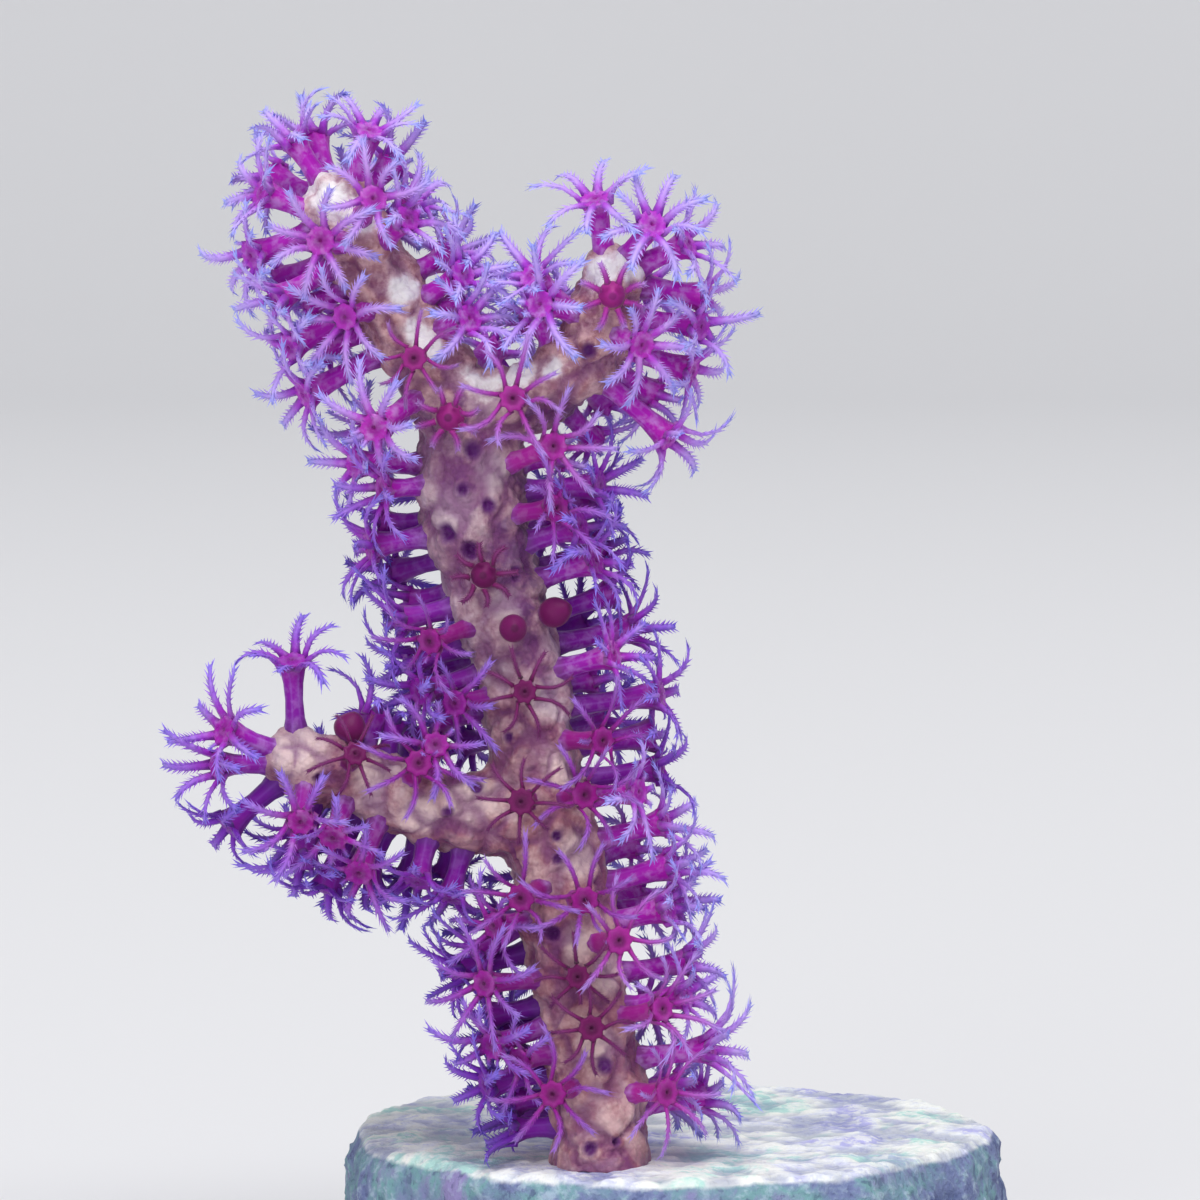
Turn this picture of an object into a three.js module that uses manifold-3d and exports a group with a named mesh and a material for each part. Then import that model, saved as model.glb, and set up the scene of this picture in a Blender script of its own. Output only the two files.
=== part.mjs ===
// A young Echinogorgia gorgonian, a branching soft coral, on the flat round reef stone that it grows on.
//
// One leader stem rises from the stone and leans to the viewer's left. A side branch leaves it low on the left and
// another near its top on the right. The whole skin carries polyps: each is a short tube with a crown of eight arms.
// The coral is parted at its forks, and each stretch carries its own polyps. The stone is a piece of its own.
//
// Millimetres, +Z up. The viewer stands at -Y, and the origin is the middle of the stone's flat underside.
import * as THREE from "three";
import { mergeVertices } from "three/addons/utils/BufferGeometryUtils.js";
import Module from "manifold-3d";

const STONE_RADIUS = 16; // of its top, a 32 mm disc
const STONE_HEIGHT = 8;
const STONE_SIDES = 26;
const RIM_DROP = 0.5; // how far the rim dips, in places
const STEM_SIDES = 10;
const RING_STEP = 2.5; // between the rings of a stem
const SEAT_GAP = 0.25; // between the foot and the stone
const FORK_GAP = 0.3; // between two stretches of stem
const CLEARANCE = 0.25; // between the polyps of two stretches
const LUMP = 0.16; // the skin's swellings, over and under the mean radius

const CROWN_RADIUS = 0.75; // of a polyp, where the arms leave it
const MOUTH_RISE = 0.25;
const ARM_COUNT = 8;
const ARM_LENGTH = 2.3;
const ARM_RADIUS = 0.18; // half an arm's thickness, halfway along it
const DOT_RADIUS = 0.48; // a polyp drawn in, which is a low button on the skin
const BUD_RADIUS = 0.8; // a polyp with its arms folded shut

const LEADER = {
  // x, y, height over the stone, and the stem's radius there
  route: [
    [-3.4, -11.0, 0.0, 2.5],
    [-3.45, -11.0, 1.8, 2.4],
    [-3.8, -10.9, 5.1, 2.4],
    [-4.4, -10.7, 8.0, 2.35],
    [-4.9, -10.5, 11.0, 2.35],
    [-5.4, -10.3, 13.9, 2.45],
    [-6.1, -10.1, 16.6, 2.55],
    [-6.6, -10.0, 18.9, 2.4],
    [-7.0, -9.9, 21.7, 2.2],
    [-7.3, -9.8, 23.7, 2.2],
    [-8.0, -9.7, 26.1, 2.3],
    [-8.8, -9.6, 28.5, 2.45],
    [-9.5, -9.5, 31.0, 2.6],
    [-9.75, -9.4, 33.4, 2.7],
    [-9.9, -9.3, 35.9, 2.6],
    [-10.8, -9.2, 37.6, 2.2],
    [-12.5, -9.0, 40.0, 1.95],
    [-13.95, -8.8, 42.7, 1.9],
    [-15.4, -8.6, 45.1, 1.95],
    [-16.2, -8.5, 46.6, 1.9],
  ],
};
const UPPER_RIGHT = {
  route: [
    [-9.8, -9.4, 35.9, 2.0],
    [-7.85, -9.5, 37.1, 2.0],
    [-5.4, -9.7, 38.3, 1.85],
    [-3.85, -9.9, 40.0, 1.75],
    [-3.3, -10.0, 42.0, 1.7],
    [-2.8, -10.1, 43.3, 1.65],
  ],
};
const LOWER_LEFT = {
  route: [
    [-6.1, -10.1, 16.6, 2.1],
    [-8.0, -10.3, 16.9, 2.1],
    [-10.3, -10.5, 17.3, 2.1],
    [-12.6, -10.7, 17.7, 1.9],
    [-14.9, -10.9, 18.6, 1.8],
    [-16.9, -11.1, 19.4, 1.8],
    [-18.2, -11.2, 19.7, 1.75],
  ],
};
const FIRST_FORK = 16.9; // along the leader
const SECOND_FORK = 36.6;

// Each polyp: how far along its stem, how far round it in degrees (0 faces the viewer, 90 the stem's right-hand
// side), how far its crown stands off the skin, how far it leans towards the stem's tip, and what it is doing.
const LEADER_POLYPS = [
  [1.0, -13, 0, 0, "dot"],
  [1.3, 20, 0, 0, "dot"],
  [1.9, -90, 1.9, 0],
  [3.4, 52, 1.9, 0],
  [4.0, -30, 1.8, 0],
  [4.8, 90, 3.4, 0, "wide"],
  [4.9, 14, 0, 0, "dot"],
  [5.0, -85, 3.0, -4],
  [5.8, -60, 1.7, 0],
  [6.8, 5, 1.5, 0, "flat"],
  [6.9, 54, 2.4, 0],
  [7.2, 80, 2.8, 0],
  [7.4, -68, 2.7, -6],
  [9.0, 95, 3.3, 0],
  [9.2, -58, 2.9, 6],
  [9.4, 2, 1.3, 0, "flat"],
  [10.8, 35, 1.8, 0],
  [11.0, -95, 3.6, -6],
  [11.3, 80, 2.7, 6],
  [11.6, -22, 0, 0, "dot"],
  [12.0, 112, 3.3, 0],
  [12.4, -60, 1.7, 0],
  [13.0, 15, 1.7, 0],
  [13.2, 86, 3.2, 6],
  [13.2, -84, 2.7, -24],
  [14.0, -27, 1.9, -4],
  [15.1, 5, 0, 0, "dot"],
  [15.4, 88, 3.2, 0],
  [16.2, 10, 0, 0, "dot"],
  [17.8, 70, 2.6, -4],
  [18.0, 34, 1.5, 0],
  [18.1, -12, 1.5, 4, "flat"],
  [18.8, 96, 3.7, -4],
  [20.4, 98, 3.7, 0],
  [21.0, 52, 2.2, -4],
  [21.4, -28, 0, 0, "dot"],
  [22.4, 90, 4.4, 0],
  [23.4, -60, 1.7, 0],
  [23.5, 2, 1.3, 0, "flat"],
  [24.0, 72, 2.7, 4],
  [24.8, -80, 2.8, 0],
  [25.4, 106, 4.0, -6],
  [26.4, -98, 2.9, 0],
  [26.6, 8, 1.2, 0, "bud"],
  [26.7, 60, 1.5, 0, "bud"],
  [27.3, -52, 2.3, 0],
  [28.2, -80, 2.6, 6],
  [28.4, 82, 2.8, 0],
  [28.9, 112, 3.7, 0],
  [29.1, 35, 0, 0, "dot"],
  [29.5, -3, 0.9, 0, "short"],
  [30.4, 76, 2.6, 0],
  [30.8, -12, 0, 0, "dot"],
  [31.8, -88, 2.7, 0],
  [31.8, -34, 0, 0, "dot"],
  [32.2, 56, 2.3, 0],
  [32.4, 104, 3.4, 0],
  [32.8, 18, 0, 0, "dot"],
  [33.4, 84, 3.6, 0],
  [33.7, -10, 0, 0, "dot"],
  [34.0, -70, 1.9, 0],
  [34.2, 54, 2.6, 14],
  [34.9, -92, 3.0, 0],
  [35.6, 3, 0, 0, "dot"],
  [37.5, -10, 0.9, 0, "short"],
  [39.2, -48, 3.0, 0],
  [40.8, -5, 1.3, 0, "flat"],
  [41.6, 58, 1.6, -8],
  [41.9, -90, 4.0, 2],
  [43.2, 68, 2.1, 4],
  [43.8, -44, 1.4, 6],
  [44.3, -84, 3.6, 0],
  [44.6, 94, 2.1, 0],
  [46.4, 84, 1.8, 18],
  [46.8, -75, 3.0, 0],
  [47.2, -22, 1.8, 12],
  [48.2, -80, 2.6, 48],
  [48.5, 92, 2.6, 48],
  [48.6, -92, 3.0, 6],
  [48.8, 122, 2.2, 18],
  [49.0, -90, 2.4, 84],
];
const UPPER_RIGHT_POLYPS = [
  [2.9, -4, 2.0, 0],
  [4.2, 125, 2.4, 10],
  [5.2, -78, 1.9, 18],
  [6.4, 88, 4.0, 0],
  [7.2, 0, 0, 0, "dot"],
  [7.7, 106, 3.5, 0],
  [7.8, -84, 2.6, 26],
  [8.1, 44, 1.5, 0],
  [8.7, -58, 1.8, 4],
  [9.0, 88, 3.2, 4],
  [10.2, 6, 1.1, 0, "short"],
  [10.4, -84, 2.6, 58],
  [10.7, 96, 3.0, 10],
  [10.8, 80, 2.4, 46],
  [10.8, 28, 2.0, 62],
];
const LOWER_LEFT_POLYPS = [
  [3.6, -84, 2.3, 6],
  [3.8, 44, 0, 0, "dot"],
  [5.0, 0, 0, 0, "dot"],
  [5.5, -70, 1.9, 6],
  [6.3, 60, 1.7, 0],
  [7.2, 42, 1.3, 0],
  [7.4, -98, 2.5, 0],
  [7.9, -62, 2.6, 0],
  [8.3, 112, 1.6, 10],
  [9.0, -90, 3.8, 0],
  [9.8, -46, 2.0, 0],
  [9.8, 112, 1.7, 0],
  [10.4, 28, 1.3, 0, "flat"],
  [10.8, 82, 1.3, 0, "bud"],
  [11.5, -84, 2.9, -4],
  [11.5, -14, 0, 0, "dot"],
  [12.0, -42, 2.0, 0],
  [12.3, 44, 2.6, 72],
  [12.4, -90, 3.0, 38],
  [12.5, -36, 2.4, 70],
  [12.6, 92, 3.2, 16],
];
// Behind, where the view doesn't reach, the polyps stand in rows across the back of each stem.
const BACK_ROW = 2.5;
const BACK_ANGLES = [142, 186, 228];

const wasm = await Module();
wasm.setup();

// A number from 0 to 1 that looks random and is the same in every run.
function scatter(which, part) {
  const v = Math.sin(which * 12.9898 + part * 78.233) * 43758.5453;
  return v - Math.floor(v);
}

function solidOf(geometry) {
  geometry.deleteAttribute("normal");
  geometry.deleteAttribute("uv");
  const merged = mergeVertices(geometry, 1e-4);
  const solid = new wasm.Manifold(
    new wasm.Mesh({
      numProp: 3,
      vertProperties: new Float32Array(merged.attributes.position.array),
      triVerts: new Uint32Array(merged.index.array),
    }),
  );
  return solid;
}

function meshOf(name, solid, material) {
  const made = solid.getMesh();
  const geometry = new THREE.BufferGeometry();
  geometry.setAttribute("position", new THREE.BufferAttribute(made.vertProperties, 3));
  geometry.setIndex(new THREE.BufferAttribute(made.triVerts, 1));
  geometry.computeVertexNormals();
  const mesh = new THREE.Mesh(geometry, material);
  mesh.name = name;
  return mesh;
}

// The stem's middle line as a smooth curve, with its length and the radius at each point of the route.
function stemOf({ route }) {
  const curve = new THREE.CatmullRomCurve3(
    route.map(([x, y, height]) => new THREE.Vector3(x, y, STONE_HEIGHT + height)),
    false,
    "centripetal",
  );
  curve.arcLengthDivisions = 400;
  const radii = route.map((point) => point[3]);
  return { curve, radii, length: curve.getLength() };
}

// Where a stem runs and how it faces at a distance along it. Past its ends it runs straight on.
function stemFrame(stem, along) {
  const u = Math.min(Math.max(along / stem.length, 0), 1);
  const tangent = stem.curve.getTangentAt(u);
  const centre = stem.curve.getPointAt(u).addScaledVector(tangent, along - u * stem.length);
  const front = new THREE.Vector3(0, -1, 0);
  front.addScaledVector(tangent, -front.dot(tangent)).normalize();
  const side = new THREE.Vector3().crossVectors(tangent, front);
  const t = stem.curve.getUtoTmapping(u, 0) * (stem.radii.length - 1);
  const i = Math.min(Math.floor(t), stem.radii.length - 2);
  const radius = THREE.MathUtils.lerp(stem.radii[i], stem.radii[i + 1], t - i);
  return { centre, tangent, front, side, radius };
}

// The low swellings of the skin, at an angle round the stem in radians.
function swelling(along, angle) {
  return (
    LUMP *
    (0.6 * Math.sin(along * 1.9 + 2 * Math.sin(angle)) * Math.cos(2 * angle + along * 0.7) +
      0.4 * Math.sin(3 * angle - along * 2.3))
  );
}

// A stretch of stem between two distances along it: a lathed rod bent along the curve. A grown tip is rounded.
function stemSolid(stem, from, to, { roundTip = false, extra = 0 } = {}) {
  const rings = Math.max(2, Math.round((to - from) / RING_STEP));
  const profile = [new THREE.Vector2(0, from)];
  for (let i = 0; i <= rings; i++) profile.push(new THREE.Vector2(1, from + ((to - from) * i) / rings));
  const tip = stemFrame(stem, to).radius;
  if (roundTip)
    for (const angle of [30, 60]) {
      const a = THREE.MathUtils.degToRad(angle);
      profile.push(new THREE.Vector2(Math.cos(a), to + tip * Math.sin(a)));
    }
  profile.push(new THREE.Vector2(0, roundTip ? to + tip : to));
  const geometry = new THREE.LatheGeometry(profile, STEM_SIDES);
  const position = geometry.attributes.position;
  for (let i = 0; i < position.count; i++) {
    const share = Math.hypot(position.getX(i), position.getZ(i));
    const angle = Math.atan2(position.getX(i), position.getZ(i));
    const { centre, front, side, radius } = stemFrame(stem, position.getY(i));
    const reach = share * (radius + extra + swelling(position.getY(i), angle));
    centre.addScaledVector(front, reach * Math.cos(angle));
    centre.addScaledVector(side, reach * Math.sin(angle));
    position.setXYZ(i, centre.x, centre.y, centre.z);
  }
  const solid = solidOf(geometry);
  return solid.volume() < 0 ? solidOf(flipped(geometry)) : solid;
}

function flipped(geometry) {
  const index = geometry.index.array;
  for (let i = 0; i < index.length; i += 3) [index[i + 1], index[i + 2]] = [index[i + 2], index[i + 1]];
  return geometry;
}

// A polyp's outward axis, two directions square to it, and where it leaves the stem's middle and the skin.
function polypFrame(stem, [along, around, , lean]) {
  const { centre, tangent, front, side, radius } = stemFrame(stem, along);
  const a = THREE.MathUtils.degToRad(around);
  const out = front.clone().multiplyScalar(Math.cos(a)).addScaledVector(side, Math.sin(a));
  const l = THREE.MathUtils.degToRad(lean);
  const axis = out.clone().multiplyScalar(Math.cos(l)).addScaledVector(tangent, Math.sin(l));
  const up = tangent.clone().multiplyScalar(Math.cos(l)).addScaledVector(out, -Math.sin(l));
  const across = new THREE.Vector3().crossVectors(up, axis);
  const root = centre.clone().addScaledVector(axis, radius);
  return { middle: centre, root, axis, up, across };
}

// A point by a polyp: height along its axis from the skin, and a distance square to the axis at an angle round it.
function near({ root, axis, up, across }, height, reach, angle) {
  return root
    .clone()
    .addScaledVector(axis, height)
    .addScaledVector(up, reach * Math.cos(angle))
    .addScaledVector(across, reach * Math.sin(angle));
}

// How long the arms of a polyp are, and how far they rise from its crown, in degrees.
const ARM_STATES = {
  open: { length: 1, rise: 14, spread: 26 },
  wide: { length: 1.35, rise: 18, spread: 24 },
  flat: { length: 1, rise: -9, spread: 8 },
  short: { length: 0.4, rise: 5, spread: 10 },
};

// The arms of an open polyp, each by its angle round the crown, its rise and its length.
function armsOf(place, which) {
  const state = ARM_STATES[place[4] ?? "open"];
  const turn = scatter(which, 40) * 0.8;
  return Array.from({ length: ARM_COUNT }, (_, k) => ({
    angle: turn + (k * 2 * Math.PI) / ARM_COUNT,
    rise: THREE.MathUtils.degToRad(state.rise + state.spread * (2 * scatter(which, k) - 1)),
    length: ARM_LENGTH * state.length * (0.84 + 0.32 * scatter(which, k + 10)),
  }));
}

const HALF_ARM = Math.PI / ARM_COUNT; // half the angle that an arm takes up on the crown

function armTip(frame, crown, { angle, rise, length }) {
  return near(frame, crown + length * Math.sin(rise), CROWN_RADIUS + length * Math.cos(rise), angle);
}

// The shortest distance between the segments from a to b and from c to d.
function segmentGap(a, b, c, d) {
  const { clamp } = THREE.MathUtils;
  const u = b.clone().sub(a);
  const v = d.clone().sub(c);
  const w = a.clone().sub(c);
  const [uu, uv, vv, uw, vw] = [u.dot(u), u.dot(v), v.dot(v), u.dot(w), v.dot(w)];
  const square = uu * vv - uv * uv;
  const first = square > 1e-9 ? clamp((uv * vw - vv * uw) / square, 0, 1) : 0;
  const t = clamp((uv * first + vw) / vv, 0, 1);
  const s = clamp((uv * t - uw) / uu, 0, 1);
  return w.addScaledVector(u, s).addScaledVector(v, -t).length();
}

// A round bar of space that a stem, a polyp's tube or an arm takes up.
function bar(from, to, radius, owner) {
  const middle = from.clone().add(to).multiplyScalar(0.5);
  return { from, to, radius, owner, middle, half: from.distanceTo(to) / 2 };
}

// Whether a bar stands over the stone and clear of the others. Two polyps of one stretch may come closer.
function hasRoom(one, others) {
  if (one.to.z < STONE_HEIGHT + CLEARANCE + one.radius) return false;
  return others.every((other) => {
    if (other.owner === one.owner) return true;
    const wanted = one.radius + other.radius + (other.owner.stretch === one.owner.stretch ? 0 : CLEARANCE);
    if (one.middle.distanceTo(other.middle) > one.half + other.half + wanted) return true;
    return segmentGap(one.from, one.to, other.from, other.to) > wanted;
  });
}

// An arm with something in its way bends up or down, and draws in only if that isn't enough.
const ARM_SHARES = [1, 0.8, 0.6, 0.4, 0.2];
const ARM_BENDS = [0, 14, -14, 28, -28, 42];
function placeArm(polyp, arm, bars) {
  const { length, rise } = arm;
  for (const share of ARM_SHARES)
    for (const bend of ARM_BENDS) {
      arm.length = length * share;
      arm.rise = rise + THREE.MathUtils.degToRad(bend);
      const from = near(polyp.frame, polyp.reach, CROWN_RADIUS, arm.angle);
      const to = armTip(polyp.frame, polyp.reach, arm);
      const one = bar(from, to, ARM_RADIUS, polyp);
      const last = share === ARM_SHARES.at(-1) && bend === ARM_BENDS.at(-1);
      if (last || hasRoom(one, bars)) return one;
    }
}

// An open polyp: a tube widens from the stem's middle to the crown, and an arm stands on each side of the crown.
function openPolyp(frame, crown, arms) {
  const rim = arms.map(({ angle }) => near(frame, crown, CROWN_RADIUS, angle - HALF_ARM));
  const tips = arms.map((arm) => armTip(frame, crown, arm));
  const points = [frame.middle, near(frame, crown + MOUTH_RISE, 0, 0), ...rim, ...tips];
  const faces = arms.flatMap((_, k) => {
    const [a, b, tip] = [2 + k, 2 + ((k + 1) % ARM_COUNT), 2 + ARM_COUNT + k];
    return [
      [0, b, a],
      [a, b, tip],
      [b, 1, tip],
      [1, a, tip],
    ];
  });
  return solidFrom(points, faces);
}

// A closed polyp: a button or a folded bud, as rings of points over the skin.
function closedPolyp(frame, rings, sides = 5) {
  const [top] = rings[rings.length - 1];
  const points = [frame.middle, near(frame, top + 0.15, 0, 0)];
  for (const [height, reach] of rings)
    for (let i = 0; i < sides; i++) points.push(near(frame, height, reach, (i * 2 * Math.PI) / sides));
  const last = 2 + (rings.length - 1) * sides;
  const faces = [];
  for (let i = 0; i < sides; i++) {
    const next = (i + 1) % sides;
    faces.push([0, 2 + next, 2 + i], [1, last + i, last + next]);
    for (let low = 2; low < last; low += sides)
      faces.push([low + i, low + next, low + sides + next], [low + i, low + sides + next, low + sides + i]);
  }
  return solidFrom(points, faces);
}

function solidFrom(points, faces) {
  const build = (list) =>
    new wasm.Manifold(
      new wasm.Mesh({
        numProp: 3,
        vertProperties: new Float32Array(points.flatMap((p) => p.toArray())),
        triVerts: new Uint32Array(list.flat()),
      }),
    );
  const solid = build(faces);
  return solid.volume() < 0 ? build(faces.map(([a, b, c]) => [a, c, b])) : solid;
}

function polypSolid({ frame, reach, state, arms }) {
  if (state === "dot") return closedPolyp(frame, [[0.12, DOT_RADIUS]]);
  if (state === "bud")
    return closedPolyp(frame, [
      [reach * 0.5, BUD_RADIUS],
      [reach + 0.2, BUD_RADIUS * 0.6],
    ]);
  return openPolyp(frame, reach, arms);
}

// The rows of polyps across the back of a stem: two, then one between them.
function backPolyps(from, to) {
  const places = [];
  for (let row = 0; from + row * BACK_ROW < to; row++)
    for (const i of row % 2 ? [1] : [0, 2]) {
      const key = row * 3 + i + from;
      const along = from + BACK_ROW * (row + 0.3 * (scatter(key, 1) - 0.5));
      places.push([along, BACK_ANGLES[i] + 16 * (scatter(key, 2) - 0.5), 2.4 + 1.2 * scatter(key, 3), 0]);
    }
  return places;
}

// The stone: a lathed disc with a flat underside, a swollen side and a wavy outline.
function stoneSolid() {
  const profile = [
    [0, 0],
    [0.95, 0],
    [1.03, 0.18],
    [1.05, 0.5],
    [1.03, 0.82],
    [0.99, 1],
    [0.9, 1],
    [0, 1],
  ].map(([r, z]) => new THREE.Vector2(r * STONE_RADIUS, z * STONE_HEIGHT));
  const geometry = new THREE.LatheGeometry(profile, STONE_SIDES);
  geometry.rotateX(Math.PI / 2);
  const position = geometry.attributes.position;
  for (let i = 0; i < position.count; i++) {
    const [x, y, z] = [position.getX(i), position.getY(i), position.getZ(i)];
    const angle = Math.atan2(y, x);
    const wave = 1 + 0.018 * Math.sin(3 * angle + 0.6) + 0.014 * Math.sin(7 * angle + 2) + 0.01 * Math.sin(11 * angle);
    const rim = Math.hypot(x, y) > 0.95 * STONE_RADIUS && z > 0.99 * STONE_HEIGHT;
    position.setXYZ(i, x * wave, y * wave, z - (rim ? RIM_DROP * (0.5 + 0.5 * Math.sin(5 * angle + 1)) : 0));
  }
  const solid = solidOf(geometry);
  return solid.volume() < 0 ? solidOf(flipped(geometry)) : solid;
}

const leader = stemOf(LEADER);
const upperRight = stemOf(UPPER_RIGHT);
const lowerLeft = stemOf(LOWER_LEFT);
const leaderWithGap = stemSolid(leader, 0, leader.length, { roundTip: true, extra: 1.2 * FORK_GAP });

const stretches = [
  {
    name: "lower_stem",
    stem: leader,
    body: stemSolid(leader, SEAT_GAP, FIRST_FORK - FORK_GAP / 2),
    places: [...LEADER_POLYPS.filter(([along]) => along < FIRST_FORK), ...backPolyps(2.2, 15)],
  },
  {
    name: "upper_stem",
    stem: leader,
    body: stemSolid(leader, FIRST_FORK + FORK_GAP / 2, SECOND_FORK - FORK_GAP / 2),
    places: [
      ...LEADER_POLYPS.filter(([along]) => along > FIRST_FORK && along < SECOND_FORK),
      ...backPolyps(21, 35),
    ],
  },
  {
    name: "upper_left_branch",
    stem: leader,
    body: stemSolid(leader, SECOND_FORK + FORK_GAP / 2, leader.length, { roundTip: true }),
    places: [...LEADER_POLYPS.filter(([along]) => along > SECOND_FORK), ...backPolyps(39.4, 48.5)],
  },
  {
    name: "upper_right_branch",
    stem: upperRight,
    body: stemSolid(upperRight, 0, upperRight.length, { roundTip: true }).subtract(leaderWithGap),
    places: [...UPPER_RIGHT_POLYPS, ...backPolyps(5.5, 10.2)],
  },
  {
    name: "lower_left_branch",
    stem: lowerLeft,
    body: stemSolid(lowerLeft, 0, lowerLeft.length, { roundTip: true }).subtract(leaderWithGap),
    places: [...LOWER_LEFT_POLYPS, ...backPolyps(7.6, 12)],
  },
];

// The stems and the polyps' tubes come first, and then each polyp's arms take the room that is left.
const bars = [
  [leader, 0],
  [upperRight, 2.4],
  [lowerLeft, 2.4],
].flatMap(([stem, start]) => {
  const steps = Math.round(stem.length - start);
  const rings = Array.from({ length: steps + 1 }, (_, i) =>
    stemFrame(stem, start + ((stem.length - start) * i) / steps),
  );
  return rings.slice(1).map((ring, i) => bar(rings[i].centre, ring.centre, ring.radius + LUMP, { stem }));
});
const polyps = [];
for (const stretch of stretches)
  for (const place of stretch.places) {
    const polyp = { stretch, reach: place[2], state: place[4] ?? "open", frame: polypFrame(stretch.stem, place) };
    if (polyp.state in ARM_STATES) polyp.arms = armsOf(place, polyps.length + 1);
    polyps.push(polyp);
    if (polyp.state !== "dot")
      bars.push(bar(polyp.frame.root, near(polyp.frame, polyp.reach, 0, 0), CROWN_RADIUS, polyp));
  }
for (const polyp of polyps.filter(({ arms }) => arms))
  for (const arm of polyp.arms) bars.push(placeArm(polyp, arm, bars));

const flesh = new THREE.MeshStandardMaterial({ color: 0xb890a0, roughness: 0.6, metalness: 0 });
const rock = new THREE.MeshStandardMaterial({ color: 0xc9cfd2, roughness: 0.85, metalness: 0 });

const coral = new THREE.Group();
for (const stretch of stretches) {
  const grown = polyps.filter((polyp) => polyp.stretch === stretch).map(polypSolid);
  const whole = grown.reduce((body, polyp) => body.add(polyp), stretch.body);
  coral.add(meshOf(stretch.name, whole, flesh));
}
coral.add(meshOf("reef_stone", stoneSolid(), rock));

export default coral;
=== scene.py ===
"""A young branching gorgonian, open and feeding, on the flat round piece of reef stone that it grows on."""

import math

import bmesh
import bpy
import numpy as np
from mathutils import Matrix, Vector, noise


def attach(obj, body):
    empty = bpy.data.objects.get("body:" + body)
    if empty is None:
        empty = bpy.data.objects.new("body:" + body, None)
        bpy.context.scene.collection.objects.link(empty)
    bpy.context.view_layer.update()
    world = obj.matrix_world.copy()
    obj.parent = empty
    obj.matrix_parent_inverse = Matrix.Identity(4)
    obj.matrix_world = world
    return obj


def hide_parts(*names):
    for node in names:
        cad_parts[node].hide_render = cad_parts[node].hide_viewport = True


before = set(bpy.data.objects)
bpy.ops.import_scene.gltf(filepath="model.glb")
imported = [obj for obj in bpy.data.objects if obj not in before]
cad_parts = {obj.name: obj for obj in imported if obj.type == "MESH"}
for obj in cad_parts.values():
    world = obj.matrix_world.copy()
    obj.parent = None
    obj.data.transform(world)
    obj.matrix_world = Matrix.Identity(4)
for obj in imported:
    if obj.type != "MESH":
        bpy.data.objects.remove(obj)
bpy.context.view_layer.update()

# Reef stone
# A flat round piece of old reef stone, bone white on its cut top and crusted with violet and green algae,
# with painted shade darkening its side and its hollows.
# It is turned out as a thick disc and then weathered: pits and knobs on the side, and a nearly smooth top.

MM = 0.001
STONE_RADIUS = 16.0
STONE_HEIGHT = 8.0
STONE_SEGMENTS = 96
STONE_GRAIN = 0.36  # the side of the small faces in its skin
UNDERSIDE = 1.2  # the weathering fades out over this height, so that the stone stands flat
STONE_SECTION = (  # out from the middle, and up, as shares of the radius and the height
    (0.95, 0.0),
    (1.0, 0.05),
    (1.03, 0.18),
    (1.05, 0.5),
    (1.035, 0.82),
    (1.015, 0.94),
    (0.99, 1.0),
    (0.9, 1.0),
)


def draw_out(bm, frames, segments):
    """A closed round form drawn out through these frames, each of which places a ring of radius 1."""
    start = bmesh.ops.create_circle(bm, cap_ends=True, segments=segments, radius=1, matrix=frames[0])["verts"]
    ring = list(dict.fromkeys(edge for vert in start for edge in vert.link_edges))
    for before, after in zip(frames, frames[1:]):
        grown = bmesh.ops.extrude_edge_only(bm, edges=ring)["geom"]
        verts = [part for part in grown if isinstance(part, bmesh.types.BMVert)]
        inside = set(verts)
        ring = [e for e in dict.fromkeys(e for v in verts for e in v.link_edges) if set(e.verts) <= inside]
        bmesh.ops.transform(bm, verts=verts, matrix=after @ before.inverted())
    bmesh.ops.contextual_create(bm, geom=ring)


def level_ring(height, radius):
    """A level ring in a form that is drawn out upwards."""
    return Matrix.Translation((0, 0, height)) @ Matrix.Diagonal((radius, radius, 1, 1))


def points_of(mesh):
    """The places of all the mesh's points, one row each."""
    points = np.empty(len(mesh.vertices) * 3, np.float32)
    mesh.vertices.foreach_get("co", points)
    return points.reshape(-1, 3).astype(float)


def even_skin(name, bm, grain, smooth):
    """The outside of closed forms that may cross, as one even skin of small faces with soft corners."""
    bmesh.ops.recalc_face_normals(bm, faces=bm.faces)
    rough = bpy.data.meshes.new(name + "_rough")
    bm.to_mesh(rough)
    bm.free()
    block = bpy.data.objects.new(name + "_rough", rough)
    bpy.context.scene.collection.objects.link(block)
    remesh = block.modifiers.new("even", "REMESH")
    remesh.mode = "VOXEL"
    remesh.voxel_size = grain
    even = block.evaluated_get(bpy.context.evaluated_depsgraph_get())
    bm = bmesh.new()
    bm.from_mesh(even.to_mesh())
    bpy.data.objects.remove(block)
    every_way = {"use_axis_x": True, "use_axis_y": True, "use_axis_z": True}
    for _ in range(smooth):
        bmesh.ops.smooth_vert(bm, verts=bm.verts, factor=0.5, **every_way)
    mesh = bpy.data.meshes.new(name)
    bm.to_mesh(mesh)
    bm.free()
    return mesh


def normals_of(mesh):
    """The way out of the surface at each point of the mesh."""
    normals = np.empty(len(mesh.vertices) * 3, np.float32)
    mesh.vertex_normals.foreach_get("vector", normals)
    return normals.reshape(-1, 3).astype(float)


def put_points(mesh, points):
    """Moves all the mesh's points to these places."""
    mesh.vertices.foreach_set("co", points.astype(np.float32).ravel())
    mesh.update()


def mark(mesh, name, values):
    """Writes one number for each point of the mesh, which its material reads."""
    layer = mesh.attributes.new(name, "FLOAT", "POINT")
    layer.data.foreach_set("value", np.asarray(values, np.float32))


def finished(name, mesh, material, slot, *nodes):
    """The mesh as a piece of the object, smooth, in its finish and in the place of these solids."""
    mesh.polygons.foreach_set("use_smooth", np.ones(len(mesh.polygons), bool))
    mesh.materials.append(material)
    piece = bpy.data.objects.new(name, mesh)
    bpy.context.scene.collection.objects.link(piece)
    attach(piece, "root")
    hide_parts(*nodes)


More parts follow.
